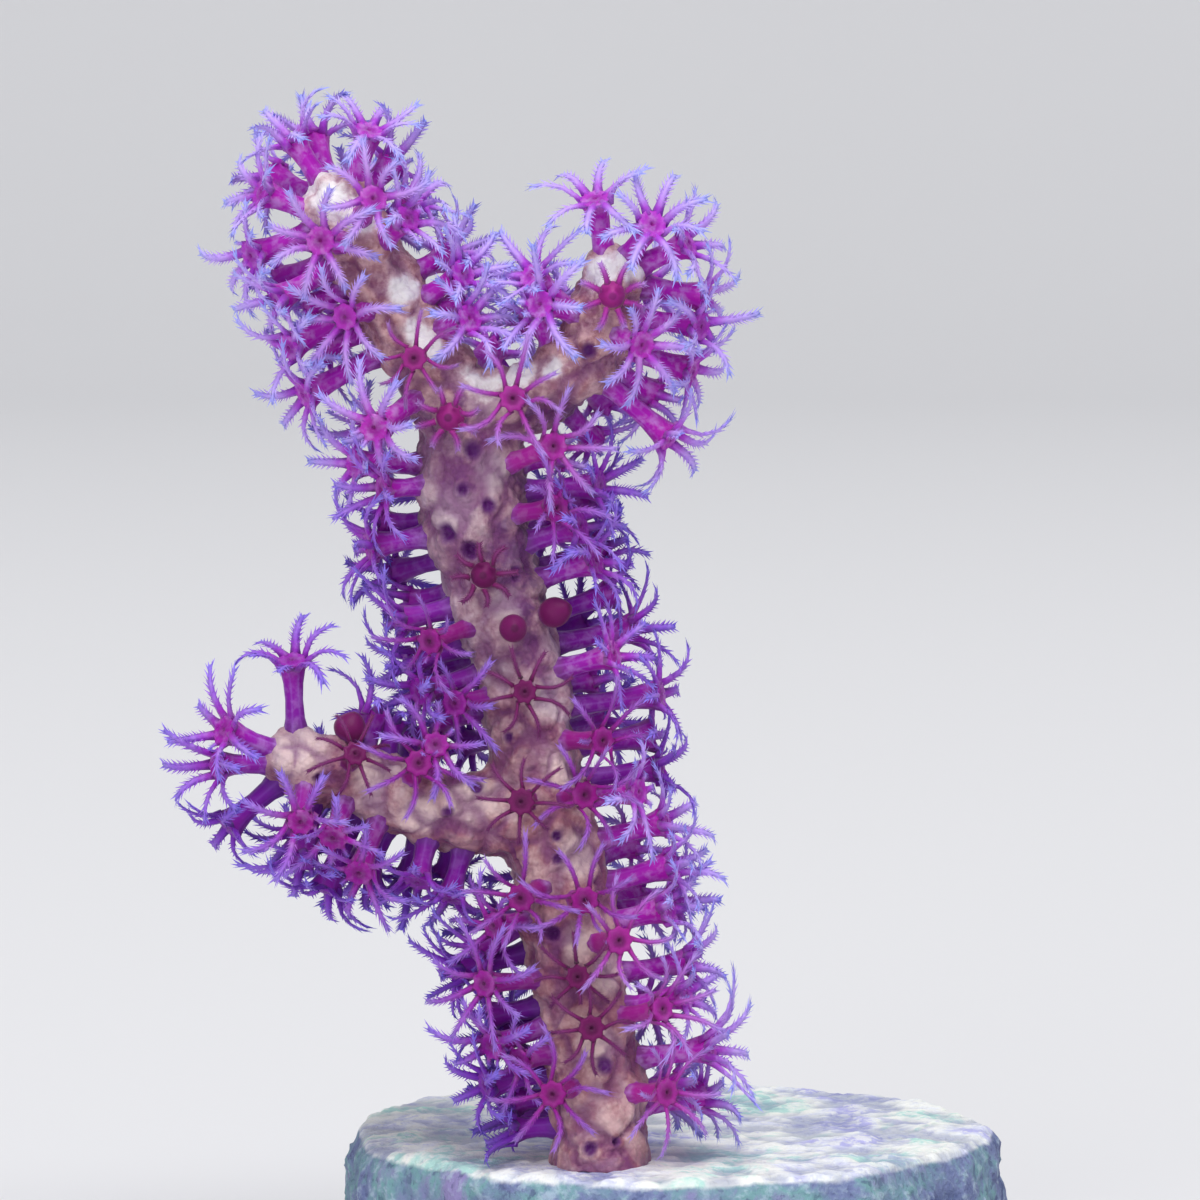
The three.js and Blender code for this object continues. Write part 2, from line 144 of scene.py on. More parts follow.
class Value:
    """A socket in a finish. Arithmetic on it adds Math nodes."""

    def __init__(self, finish, socket):
        self.finish, self.socket = finish, socket

    def math(self, operation, *others):
        return self.finish.node("Math", {"operation": operation}, dict(enumerate((self, *others))))

    def __add__(self, other):
        return self.math("ADD", other)

    __radd__ = __add__

    def __mul__(self, other):
        return self.math("MULTIPLY", other)

    __rmul__ = __mul__

    def __sub__(self, other):
        return self.math("SUBTRACT", other)

    def __rsub__(self, other):
        return (self * -1) + other


class Finish:
    """A material, with one method that adds any node."""

    def __init__(self, name, **constants):
        self.material = bpy.data.materials.new(name)
        self.material.use_nodes = True
        self.tree = self.material.node_tree
        self.shader = next(n for n in self.tree.nodes if n.type == "BSDF_PRINCIPLED")
        for socket, value in constants.items():
            self.shader.inputs[socket.replace("_", " ")].default_value = value

    def node(self, kind, settings=None, inputs=None, output=0):
        node = self.tree.nodes.new("ShaderNode" + kind)
        for name, value in (settings or {}).items():
            if name == "stops":
                ramp = node.color_ramp.elements
                for i, (place, colour) in enumerate(value):
                    stop = ramp[i] if i < 2 else ramp.new(place)
                    stop.position, stop.color = place, (*colour, 1)
            else:
                setattr(node, name, value)
        for key, value in (inputs or {}).items():
            self.feed(node.inputs[key], value)
        return Value(self, node.outputs[output])

    def feed(self, socket, value):
        if isinstance(value, Value):
            self.tree.links.new(value.socket, socket)
        else:
            socket.default_value = value

    def drive(self, **sockets):
        for name, value in sockets.items():
            self.feed(self.shader.inputs[name.replace("_", " ")], value)

    def place(self):
        """The point on the piece itself, so that a pattern stays on it."""
        return self.node("TexCoord", output="Object")

    def painted(self, name):
        """What mark wrote on the mesh under this name."""
        return self.node("Attribute", {"attribute_name": name}, output="Fac")

    def noise(self, place, size, detail=3, rough=0.5, warp=0.0):
        """Soft blotches of about this size in metres, from 0 to 1."""
        sockets = {"Vector": place, "Scale": 1 / size, "Detail": detail, "Roughness": rough}
        return self.node("TexNoise", {}, {**sockets, "Distortion": warp})

    def cells(self, place, size):
        """The distance from the nearest of many scattered centres, about this size in metres apart."""
        return self.node("TexVoronoi", {"feature": "F1"}, {"Vector": place, "Scale": 1 / size})

    def ramp(self, factor, *stops):
        return self.node("ValToRGB", {"stops": stops}, {"Fac": factor}, "Color")

    def mix(self, share, one, other, blend="MIX"):
        colours = {k: v if isinstance(v, Value) else (*v, 1) for k, v in {6: one, 7: other}.items()}
        return self.node("Mix", {"data_type": "RGBA", "blend_type": blend}, {0: share, **colours}, 2)

    def step(self, value, low, high):
        """0 at low, 1 at high, and smooth between."""
        sockets = {"Value": value, "From Min": low, "From Max": high}
        return self.node("MapRange", {"interpolation_type": "SMOOTHSTEP"}, sockets)

    def bump(self, height, depth, strength=1.0):
        return self.node("Bump", {}, {"Height": height, "Distance": depth, "Strength": strength}, "Normal")


def stone_wave(angle):
    """The stone's uneven outline, as a share of its radius."""
    return 1 + 0.018 * np.sin(3 * angle + 0.6) + 0.014 * np.sin(7 * angle + 2) + 0.01 * np.sin(11 * angle)


bm = bmesh.new()
rings = [level_ring(z * STONE_HEIGHT * MM, r * STONE_RADIUS * MM) for r, z in STONE_SECTION]
draw_out(bm, rings, STONE_SEGMENTS)
stone = even_skin("reef_stone_weathered", bm, STONE_GRAIN * MM, 3)
points = points_of(stone) / MM
out = normals_of(stone)
angle = np.arctan2(points[:, 1], points[:, 0])
points[:, :2] *= stone_wave(angle)[:, None]
side = np.clip(1 - np.abs(out[:, 2]) * 1.4, 0, 1)  # 1 on the side, 0 on the top and the underside
under = np.clip((UNDERSIDE - points[:, 2]) / UNDERSIDE, 0, 1)
relief = np.array(
    [
        [
            noise.fractal(Vector(p) * 0.42, 1.0, 2.2, 4),
            noise.fractal(Vector(p) * 1.3 + Vector((7, 3, 1)), 0.9, 2.1, 3),
            noise.noise(Vector(p) * 3.2),
        ]
        for p in points
    ]
)
knobs = 0.42 * relief[:, 0] + 0.26 * np.abs(relief[:, 1]) + 0.1 * relief[:, 2] - 0.12
crust = 0.2 * relief[:, 0] + 0.12 * relief[:, 1] + 0.05 * relief[:, 2] - 0.08
lift = (crust + (knobs - crust) * side) * (1 - under)
points += out * lift[:, None]
points[:, 2] = np.maximum(points[:, 2], 0)
put_points(stone, points * MM)
mark(stone, "hollow", np.clip(0.5 - lift * 1.6, 0, 1))
mark(stone, "shaded_flank", np.maximum(side, np.clip(2 - points[:, 2], 0, 1)))

limestone = Finish("reef_limestone", Roughness=0.85)
at = limestone.place()
patches = limestone.noise(at, 7 * MM, 5, 0.62, 0.6)
spread = limestone.noise(at, 3.2 * MM, 5, 0.65, 0.4)
speck = limestone.noise(at, 0.7 * MM, 4, 0.6)
cut_face = limestone.ramp(
    patches,
    (0.38, (0.50, 0.50, 0.84)),
    (0.46, (0.84, 0.88, 0.94)),
    (0.53, (0.96, 0.97, 0.90)),
    (0.60, (0.50, 0.80, 0.73)),
)
cut_face = limestone.mix(limestone.step(spread, 0.53, 0.63) * 0.65, cut_face, (0.52, 0.54, 0.77))
cut_face = limestone.mix(limestone.step(speck, 0.47, 0.6) * 0.7, cut_face, (0.96, 0.98, 0.93))
# The side: its crust of violet and green algae, painted darker and bluer than the top as painted shade.
shaded_flank_face = limestone.ramp(
    patches * 0.6 + spread * 0.4,
    (0.39, (0.06, 0.09, 0.24)),
    (0.46, (0.19, 0.23, 0.42)),
    (0.52, (0.18, 0.37, 0.39)),
    (0.6, (0.29, 0.25, 0.50)),
)
shaded_flank_face = limestone.mix(limestone.step(speck, 0.5, 0.66) * 0.5, shaded_flank_face, (0.50, 0.64, 0.74))
shaded_flank_face = limestone.mix(limestone.step(speck, 0.44, 0.36) * 0.5, shaded_flank_face, (0.03, 0.04, 0.14))
shaded_flank = limestone.step(limestone.painted("shaded_flank") + (spread - 0.5) * 0.6, 0.06, 0.32)
# Painted shade darkens the stone's hollows.
hollow = limestone.painted("hollow")
tone = limestone.mix(shaded_flank, cut_face, shaded_flank_face)
limestone.drive(
    Base_Color=limestone.mix(limestone.step(hollow, 0.5, 0.8) * 0.5, tone, (0.16, 0.20, 0.38)),
    Roughness=speck * 0.2 + 0.7,
    Normal=limestone.bump(speck * 0.7 + spread * 0.8, 0.4 * MM, 1.0),
)
finished("reef_stone_weathered", stone, limestone.material, "reef_stone", "reef_stone")

# Stems
# A gorgonian's stems are a horny core under a thick living rind, dusky pink, paler at the growing tips, and
# with painted highlights.
# The leader and its two side branches are drawn along their routes and grow into each other at the forks.

LEADER = (  # across, towards the back, and over the stone, and the stem's radius there
    (-3.4, -11.0, 0.0, 2.5),
    (-3.45, -11.0, 1.8, 2.4),
    (-3.8, -10.9, 5.1, 2.4),
    (-4.4, -10.7, 8.0, 2.35),
    (-4.9, -10.5, 11.0, 2.35),
    (-5.4, -10.3, 13.9, 2.45),
    (-6.1, -10.1, 16.6, 2.55),
    (-6.6, -10.0, 18.9, 2.4),
    (-7.0, -9.9, 21.7, 2.2),
    (-7.3, -9.8, 23.7, 2.2),
    (-8.0, -9.7, 26.1, 2.3),
    (-8.8, -9.6, 28.5, 2.45),
    (-9.5, -9.5, 31.0, 2.6),
    (-9.75, -9.4, 33.4, 2.7),
    (-9.9, -9.3, 35.9, 2.6),
    (-10.8, -9.2, 37.6, 2.2),
    (-12.5, -9.0, 40.0, 1.95),
    (-13.95, -8.8, 42.7, 1.9),
    (-15.4, -8.6, 45.1, 1.95),
    (-16.2, -8.5, 46.6, 1.9),
)
UPPER_RIGHT = (
    (-9.8, -9.4, 35.9, 2.0),
    (-7.85, -9.5, 37.1, 2.0),
    (-5.4, -9.7, 38.3, 1.85),
    (-3.85, -9.9, 40.0, 1.75),
    (-3.3, -10.0, 42.0, 1.7),
    (-2.8, -10.1, 43.3, 1.65),
)
LOWER_LEFT = (
    (-6.1, -10.1, 16.6, 2.1),
    (-8.0, -10.3, 16.9, 2.1),
    (-10.3, -10.5, 17.3, 2.1),
    (-12.6, -10.7, 17.7, 1.9),
    (-14.9, -10.9, 18.6, 1.8),
    (-16.9, -11.1, 19.4, 1.8),
    (-18.2, -11.2, 19.7, 1.75),
)
SWELL = 0.16  # the rind's low swellings, over and under the mean radius
STEM_SEGMENTS = 28
RING_STEP = 0.5
TIP_TURNS = (0, 20, 40, 58, 74, 86)  # degrees over the round end of each stem
FOOT = ((-0.35, 0.16), (-0.1, 0.14), (0.12, 0.1), (0.4, 0.04))  # along the leader, and its spread
RIND_GRAIN = 0.18  # the side of the small faces in its skin


def unit(v):
    """The same direction with a length of 1."""
    return v / np.linalg.norm(v, axis=-1, keepdims=True)


class Stem:
    """A smooth line through a route, read by the distance along it. Past its ends it runs straight on."""

    def __init__(self, route):
        route = np.array(route)
        knots = route[:, :3] + (0, 0, STONE_HEIGHT)
        ends = np.vstack([2 * knots[0] - knots[1], knots, 2 * knots[-1] - knots[-2]])
        turn = np.arange(0, len(knots) - 1 + 1e-9, 1 / 60)  # 60 steps from each knot to the next
        line = []
        for t in turn:
            i = min(int(t + 1e-9), len(knots) - 2)
            a, b, c, d = ends[i : i + 4]
            ab, bc, cd = (np.linalg.norm(q - p) ** 0.5 for p, q in ((a, b), (b, c), (c, d)))
            leave = ((b - a) / ab - (c - a) / (ab + bc) + (c - b) / bc) * bc
            reach = ((c - b) / bc - (d - b) / (bc + cd) + (d - c) / cd) * bc
            w = t - i
            line.append(
                b
                + leave * w
                + (3 * (c - b) - 2 * leave - reach) * w**2
                + (leave + reach - 2 * (c - b)) * w**3
            )
        self.line = np.array(line)
        self.along = np.r_[0, np.cumsum(np.linalg.norm(np.diff(self.line, axis=0), axis=1))]
        self.radii = np.interp(turn, np.arange(len(route)), route[:, 3])
        self.length = self.along[-1]

    def at(self, along):
        """The middle, the direction, the side to the viewer, the right-hand side and the radius."""
        u = min(max(along, 0), self.length)
        low, here, high = (
            np.array([np.interp(s, self.along, self.line[:, k]) for k in range(3)])
            for s in (max(u - 0.02, 0), u, min(u + 0.02, self.length))
        )
        ahead = unit(high - low)
        front = np.array((0, -1.0, 0))
        front = unit(front - ahead * (front @ ahead))
        middle = here + ahead * (along - u)
        return middle, ahead, front, np.cross(ahead, front), np.interp(u, self.along, self.radii)


leader, upper_right, lower_left = Stem(LEADER), Stem(UPPER_RIGHT), Stem(LOWER_LEFT)


def stem_ring(stem, along, share=1.0, extra=0.0):
    """A ring round a stem, as a share of the stem's radius there."""
    middle, ahead, front, right, radius = stem.at(along)
    size = (radius + extra) * share * MM
    ring = np.eye(4)
    ring[:3, 0], ring[:3, 1], ring[:3, 2], ring[:3, 3] = front * size, right * size, ahead * MM, middle * MM
    return Matrix(ring.tolist())


bm = bmesh.new()
for stem, start, foot in ((leader, 0.7, FOOT), (upper_right, 0.5, ()), (lower_left, 0.5, ())):
    rings = [stem_ring(stem, s, extra=spread) for s, spread in foot]
    rings += [stem_ring(stem, s) for s in np.arange(start, stem.length, RING_STEP)]
    tip = stem.at(stem.length)[4]
    for a in np.radians(TIP_TURNS):
        rings.append(stem_ring(stem, stem.length + tip * math.sin(a), math.cos(a)))
    draw_out(bm, rings, STEM_SEGMENTS)
rind = even_skin("coral_rind", bm, RIND_GRAIN * MM, 7)

# Polyps
# Each polyp is a soft violet tube that widens to a crown of eight feathered arms round a dark mouth.
# Some lie flat against the rind, some are shut as buds, and some are drawn in to a dark dot.

CROWN_RADIUS = 0.75
BUD_RADIUS = 0.84
ARM_COUNT = 8
ARM_LENGTH = 2.3
ARM_RADIUS = 0.18  # of the room that an arm takes up
CLEARANCE = 0.25  # between the polyps of one solid and those of the next
BACK_ROW = 2.5
BACK_ANGLES = (142, 186, 228)  # degrees round the stem, from the side to the viewer
FIRST_FORK, SECOND_FORK = 16.9, 36.6  # along the leader
TIP_LENGTH = 3.0  # the stretch at the end of each stem that counts as its tip
UPPER_PART = 42.0  # the height over the floor where the upper part, with its painted light, starts
LEAST_NOD, MORE_NOD, MORE_NOD_RIGHT = 6, 34, 12  # degrees, and the last is for the lower right side
ARM_STATES = {  # length, rise in degrees, and how much the rise varies
    "open": (1.0, 14, 26),
    "wide": (1.35, 18, 24),
    "flat": (1.0, -9, 8),
    "short": (0.4, 5, 10),
    "young": (0.9, 14, 26),
}
ARM_SHARES = (1, 0.8, 0.6, 0.4, 0.2)  # of its length, for an arm with something in its way
ARM_BENDS = (0, 14, -14, 28, -28, 42)  # degrees, for the same
FLAT_ARM_SHARE = 0.68  # how much of its room a flat polyp's arm fills
ARM_SPINE = (  # along the arm as a share of it, and its half width and half thickness there
    (-0.1, 0.32, 0.2),
    (0.1, 0.24, 0.15),
    (0.38, 0.2, 0.1),
    (0.68, 0.165, 0.08),
    (0.9, 0.12, 0.06),
    (1.0, 0.045, 0.03),
)
BARB_PAIRS = 15
YOUNG_STEP = 0.8  # along the stem, between the places where a young polyp is tried
YOUNG_ROWS = (-112, 112, -96, 96)  # degrees round the stem, as BACK_ANGLES
YOUNG_TIP_ROWS = (-112, 112, -66, 64, 34, -36, 165)
FIRST_YOUNG = 200  # the number of the first place
LEADER_POLYPS = (  # along the stem, round it, out from the rind, leaning to the tip, and what it is doing
    (1.0, -13, 0, 0, "dot"), (1.3, 20, 0, 0, "dot"), (1.9, -90, 1.9, 0), (3.4, 52, 1.9, 0),
    (4.0, -30, 1.8, 0), (4.8, 90, 3.4, 0, "wide"), (4.9, 14, 0, 0, "dot"), (5.0, -85, 3.0, -4),
    (5.8, -60, 1.7, 0), (6.8, 5, 1.5, 0, "flat"), (6.9, 54, 2.4, 0), (7.2, 80, 2.8, 0),
    (7.4, -68, 2.7, -6), (9.0, 95, 3.3, 0), (9.2, -58, 2.9, 6), (9.4, 2, 1.3, 0, "flat"),
    (10.8, 35, 1.8, 0), (11.0, -95, 3.6, -6), (11.3, 80, 2.7, 6), (11.6, -22, 0, 0, "dot"),
    (12.0, 112, 3.3, 0), (12.4, -60, 1.7, 0), (13.0, 15, 1.7, 0), (13.2, 86, 3.2, 6),
    (13.2, -84, 2.7, -24), (14.0, -27, 1.9, -4), (15.1, 5, 0, 0, "dot"), (15.4, 88, 3.2, 0),
    (16.2, 10, 0, 0, "dot"), (17.8, 70, 2.6, -4), (18.0, 34, 1.5, 0), (18.1, -12, 1.5, 4, "flat"),
    (18.8, 96, 3.7, -4), (20.4, 98, 3.7, 0), (21.0, 52, 2.2, -4), (21.4, -28, 0, 0, "dot"),
    (22.4, 90, 4.4, 0), (23.4, -60, 1.7, 0), (23.5, 2, 1.3, 0, "flat"), (24.0, 72, 2.7, 4),
    (24.8, -80, 2.8, 0), (25.4, 106, 4.0, -6), (26.4, -98, 2.9, 0), (26.6, 8, 1.2, 0, "bud"),
    (26.7, 60, 1.5, 0, "bud"), (27.3, -52, 2.3, 0), (28.2, -80, 2.6, 6), (28.4, 82, 2.8, 0),
    (28.9, 112, 3.7, 0), (29.1, 35, 0, 0, "dot"), (29.5, -3, 0.9, 0, "short"), (30.4, 76, 2.6, 0),
    (30.8, -12, 0, 0, "dot"), (31.8, -88, 2.7, 0), (31.8, -34, 0, 0, "dot"), (32.2, 56, 2.3, 0),
    (32.4, 104, 3.4, 0), (32.8, 18, 0, 0, "dot"), (33.4, 84, 3.6, 0), (33.7, -10, 0, 0, "dot"),
    (34.0, -70, 1.9, 0), (34.2, 54, 2.6, 14), (34.9, -92, 3.0, 0), (35.6, 3, 0, 0, "dot"),
    (37.5, -10, 0.9, 0, "short"), (39.2, -48, 3.0, 0), (40.8, -5, 1.3, 0, "flat"), (41.6, 58, 1.6, -8),
    (41.9, -90, 4.0, 2), (43.2, 68, 2.1, 4), (43.8, -44, 1.4, 6), (44.3, -84, 3.6, 0),
    (44.6, 94, 2.1, 0), (46.4, 84, 1.8, 18), (46.8, -75, 3.0, 0), (47.2, -22, 1.8, 12),
    (48.2, -80, 2.6, 48), (48.5, 92, 2.6, 48), (48.6, -92, 3.0, 6), (48.8, 122, 2.2, 18),
    (49.0, -90, 2.4, 84),
)
UPPER_RIGHT_POLYPS = (
    (2.9, -4, 2.0, 0), (4.2, 125, 2.4, 10), (5.2, -78, 1.9, 18), (6.4, 88, 4.0, 0),
    (7.2, 0, 0, 0, "dot"), (7.7, 106, 3.5, 0), (7.8, -84, 2.6, 26), (8.1, 44, 1.5, 0),
    (8.7, -58, 1.8, 4), (9.0, 88, 3.2, 4), (10.2, 6, 1.1, 0, "short"), (10.4, -84, 2.6, 58),
    (10.7, 96, 3.0, 10), (10.8, 80, 2.4, 46), (10.8, 28, 2.0, 62),
)
LOWER_LEFT_POLYPS = (
    (3.6, -84, 2.3, 6), (3.8, 44, 0, 0, "dot"), (5.0, 0, 0, 0, "dot"), (5.5, -70, 1.9, 6),
    (6.3, 60, 1.7, 0), (7.2, 42, 1.3, 0), (7.4, -98, 2.5, 0), (7.9, -62, 2.6, 0), (8.3, 112, 1.6, 10),
    (9.0, -90, 3.8, 0), (9.8, -46, 2.0, 0), (9.8, 112, 1.7, 0), (10.4, 28, 1.3, 0, "flat"),
    (10.8, 82, 1.3, 0, "bud"), (11.5, -84, 2.9, -4), (11.5, -14, 0, 0, "dot"), (12.0, -42, 2.0, 0),
    (12.3, 44, 2.6, 72), (12.4, -90, 3.0, 38), (12.5, -36, 2.4, 70), (12.6, 92, 3.2, 16),
)


def scatter(which, part):
    """A number from 0 to 1 that looks random and is the same in every run. Each use has its own part."""
    v = math.sin(which * 12.9898 + part * 78.233) * 43758.5453
    return v - math.floor(v)


def back_polyps(start, end):
    """The rows across the back of a stem: two polyps, then one between them."""
    places = []
    row = 0
    while start + row * BACK_ROW < end:
        for i in (1,) if row % 2 else (0, 2):
            key = row * 3 + i + start
            along = start + BACK_ROW * (row + 0.3 * (scatter(key, 1) - 0.5))
            around = BACK_ANGLES[i] + 16 * (scatter(key, 2) - 0.5)
            places.append((along, around, 2.4 + 1.2 * scatter(key, 3), 0))
        row += 1
    return places


STRETCHES = (  # the solid's name, its stem, and the polyps on it
    ("lower_stem", leader, [p for p in LEADER_POLYPS if p[0] < FIRST_FORK] + back_polyps(2.2, 15)),
    (
        "upper_stem",
        leader,
        [p for p in LEADER_POLYPS if FIRST_FORK < p[0] < SECOND_FORK] + back_polyps(21, 35),
    ),
    ("upper_left_branch", leader, [p for p in LEADER_POLYPS if p[0] > SECOND_FORK] + back_polyps(39.4, 48.5)),
    ("upper_right_branch", upper_right, [*UPPER_RIGHT_POLYPS, *back_polyps(5.5, 10.2)]),
    ("lower_left_branch", lower_left, [*LOWER_LEFT_POLYPS, *back_polyps(7.6, 12)]),
)
UPPER_LEFT = 2  # the place of that solid in the list


class Polyp:
    """One polyp: where it leaves the rind, its axis, and its arms as angle, rise and length."""

    def __init__(self, number, stretch, stem, place):
        along, around, self.reach, lean = place[:4]
        self.number, self.stretch = number, stretch
        self.state = place[4] if len(place) > 4 else "open"
        middle, ahead, front, right, radius = stem.at(along)
        a, tilt = math.radians(around), math.radians(lean)
        outward = front * math.cos(a) + right * math.sin(a)
        self.axis = outward * math.cos(tilt) + ahead * math.sin(tilt)
        self.up = ahead * math.cos(tilt) - outward * math.sin(tilt)
        self.across = np.cross(self.up, self.axis)
        self.root = middle + self.axis * radius
        facing = (-self.axis[1] - (0.3 if self.root[2] < UPPER_PART + 1 else 0.6)) / 0.35
        # painted shade: the crown is painted darker the more it faces the viewer
        self.front_shade = min(1, max(0, facing)) * (0.4 if along > stem.length - TIP_LENGTH else 1)
        self.turn = scatter(number, 40) * 0.8
        self.arms = []
        if self.state in ARM_STATES:
            length, rise, spread = ARM_STATES[self.state]
            for k in range(ARM_COUNT):
                angle = self.turn + k * 2 * math.pi / ARM_COUNT
                raised = math.radians(rise + spread * (2 * scatter(number, k) - 1))
                full = ARM_LENGTH * length * (0.84 + 0.32 * scatter(number, k + 10))
                self.arms.append([angle, raised, full])

    def near(self, height, reach, angle):
        """A point by the polyp: up its axis from the rind, and out at an angle round it."""
        aside = self.up * math.cos(angle) + self.across * math.sin(angle)
        return self.root + self.axis * height + aside * reach

    def arm_ends(self, angle, rise, length):
        """Where an arm leaves the crown, and its tip, as if it were straight."""
        return (
            self.near(self.reach, CROWN_RADIUS, angle),
            self.near(self.reach + length * math.sin(rise), CROWN_RADIUS + length * math.cos(rise), angle),
        )

    def nod(self, points, share):
        """Turns points by the crown towards the light in front, by a share of the crown's own nod."""
        facing = -self.axis[1]
        if self.state not in ("open", "wide") or facing < -0.3:
            return points
        more = MORE_NOD_RIGHT if self.axis[0] > 0.5 and self.root[2] < UPPER_PART else MORE_NOD
        full = min(math.radians(LEAST_NOD + more * scatter(self.number, 33)), 0.6 * math.acos(min(facing, 1)))
        aside = unit(np.array((0, -1.0, 0)) - self.axis * facing)
        crown = self.root + self.axis * self.reach
        turn = full * np.reshape(share, (-1, 1))
        ahead, over = (((points - crown) @ v)[:, None] for v in (self.axis, aside))
        flat = points - ahead * self.axis - over * aside
        return (
            flat
            + (ahead * np.cos(turn) - over * np.sin(turn)) * self.axis
            + (ahead * np.sin(turn) + over * np.cos(turn)) * aside
        )


class Room:
    """The round bars of space that the stems, tubes and arms take up."""

    def __init__(self, size):
        self.start, self.end = np.zeros((size, 3)), np.zeros((size, 3))
        self.facts = np.zeros((size, 3))  # radius, polyp and stretch
        self.count = 0

    def take(self, start, end, radius, polyp, stretch):
        """Takes up the room round a line for one polyp."""
        self.start[self.count], self.end[self.count] = start, end
        self.facts[self.count] = radius, polyp, stretch
        self.count += 1

    def free(self, start, end, radius, polyp, stretch):
        """Whether the room round a line is clear of the stone and of all but the polyp's own parts."""
        if end[2] < STONE_HEIGHT + CLEARANCE + radius:
            return False
        c, d = self.start[: self.count], self.end[: self.count]
        radii, polyps, stretches = self.facts[: self.count].T
        wanted = radius + radii + np.where(stretches == stretch, 0, CLEARANCE)
        halves = (np.linalg.norm(d - c, axis=1) + np.linalg.norm(end - start)) / 2
        close = np.linalg.norm((c + d) / 2 - (start + end) / 2, axis=1) <= halves + wanted
        close &= polyps != polyp
        c, d, wanted = c[close], d[close], wanted[close]
        u, v, w = end - start, d - c, start - c
        uu, uv, vv, uw, vw = u @ u, v @ u, (v * v).sum(1), w @ u, (v * w).sum(1)
        square = uu * vv - uv * uv
        first = np.where(square > 1e-9, np.clip((uv * vw - vv * uw) / np.maximum(square, 1e-9), 0, 1), 0)
        t = np.clip((uv * first + vw) / vv, 0, 1)
        s = np.clip((uv * t - uw) / uu, 0, 1)
        gap = np.linalg.norm(w + s[:, None] * u - t[:, None] * v, axis=1)
        return bool((gap > wanted).all())


room = Room(4000)  # more than there are stems, tubes and arms
for stem, start in ((leader, 0), (upper_right, 2.4), (lower_left, 2.4)):
    steps = round(stem.length - start)
    rings = [stem.at(start + (stem.length - start) * i / steps) for i in range(steps + 1)]
    for before, after in zip(rings, rings[1:]):
        room.take(before[0], after[0], after[4] + SWELL, -1, -1)
polyps = []
for stretch, (_, stem, places) in enumerate(STRETCHES):
    for place in places:
        polyp = Polyp(len(polyps) + 1, stretch, stem, place)
        polyps.append(polyp)
        if polyp.state != "dot":
            room.take(polyp.root, polyp.near(polyp.reach, 0, 0), CROWN_RADIUS, polyp.number, stretch)


def spread_arms(group):
    """An arm with something in its way bends, and draws in only if that isn't enough."""
    for polyp in group:
        for arm in polyp.arms:
            _, rise, length = arm
            tries = [(rise + math.radians(b), length * share) for share in ARM_SHARES for b in ARM_BENDS]
            for arm[1], arm[2] in tries:
                ends = polyp.arm_ends(*arm)
                if room.free(*ends, ARM_RADIUS, polyp.number, polyp.stretch):
                    break
            room.take(*ends, ARM_RADIUS, polyp.number, polyp.stretch)


spread_arms(polyps)
crowns = [p.nod(p.near(p.reach + 1, 0, 0)[None], 1)[0] for p in polyps if p.state != "dot"]
wanted = []  # places for smaller polyps, in the gaps behind the rows at the sides and round the tips
for stretch, (_, stem, places) in enumerate(STRETCHES):
    first, last = min(p[0] for p in places), max(p[0] for p in places)
    for along in np.arange(max(first, 2.5), last, YOUNG_STEP):
        rows = YOUNG_ROWS
        if along > stem.length - TIP_LENGTH:
            rows = (-112,) if stem is lower_left else YOUNG_TIP_ROWS
        wanted += [(stretch, stem, along, around, 10 * (along / last) ** 8) for around in rows]
for around in (180, 155, 205, 130):  # behind the highest tip
    wanted += [(UPPER_LEFT, leader, leader.length, around, lean) for lean in (70, 55, 40)]
young = []
for number, (stretch, stem, along, around, lean) in enumerate(wanted, FIRST_YOUNG):
    turned = around + 26 * (scatter(number, 5) - 0.5)
    reach = (0.9 if abs(around) == 96 else 2.0) + 1.6 * scatter(number, 6)
    polyp = Polyp(number, stretch, stem, (along, turned, reach, lean, "young"))
    ends = polyp.near(1.0, 0, 0), polyp.near(polyp.reach, 0, 0)
    spaced = min(np.linalg.norm(ends[1] - crown) for crown in crowns) > (2.6 if abs(around) < 90 else 1.7)
    clear = spaced and room.free(*ends, 0.7 * CROWN_RADIUS, number, stretch)
    if clear and polyp.root[2] > STONE_HEIGHT + 2.5:
        room.take(*ends, CROWN_RADIUS, number, stretch)
        young.append(polyp)
spread_arms(young)
polyps += young


def shape_of(bm):
    """A form's points and its triangles."""
    bmesh.ops.recalc_face_normals(bm, faces=bm.faces)
    bmesh.ops.triangulate(bm, faces=bm.faces)
    bm.verts.index_update()
    points = np.array([v.co[:] for v in bm.verts])
    faces = np.array([[v.index for v in f.verts] for f in bm.faces])
    bm.free()
    return points, faces


def tube_shape(profile, segments, lobes):
    """A polyp's body in millimetres, drawn up through these heights and radii, with eight ribs."""
    bm = bmesh.new()
    draw_out(bm, [level_ring(height, radius) for height, radius in profile], segments)
    points, faces = shape_of(bm)
    angle = np.arctan2(points[:, 1], points[:, 0])
    depth = lobes * (0.25 + 0.9 * points[:, 2].clip(0, 1) ** 4)
    points[:, :2] *= (1 + depth * np.cos(ARM_COUNT * angle))[:, None]
    return points, faces


# The tube's height is drawn as 0 at the rind and 1 at the crown, and what stands over 1 is in millimetres.
TUBE = tube_shape(
    (
        (-0.3, 0.7),
        (0.0, 0.62),
        (0.12, 0.52),
        (0.4, 0.47),
        (0.65, 0.52),
        (0.85, 0.63),
        (1.0, 0.78),
        (1.1, 0.7),
        (1.05, 0.5),
        (1.02, 0.34),
        (1.1, 0.22),
        (1.06, 0.12),
        (0.96, 0.05),
    ),
    2 * ARM_COUNT,
    0.11,
)
BUD = tube_shape(
    [(h, BUD_RADIUS * math.sin(math.pi * (0.24 + 0.7 * h)) ** 0.8) for h in np.linspace(-0.1, 1.02, 15)],
    4 * ARM_COUNT,
    0,
)


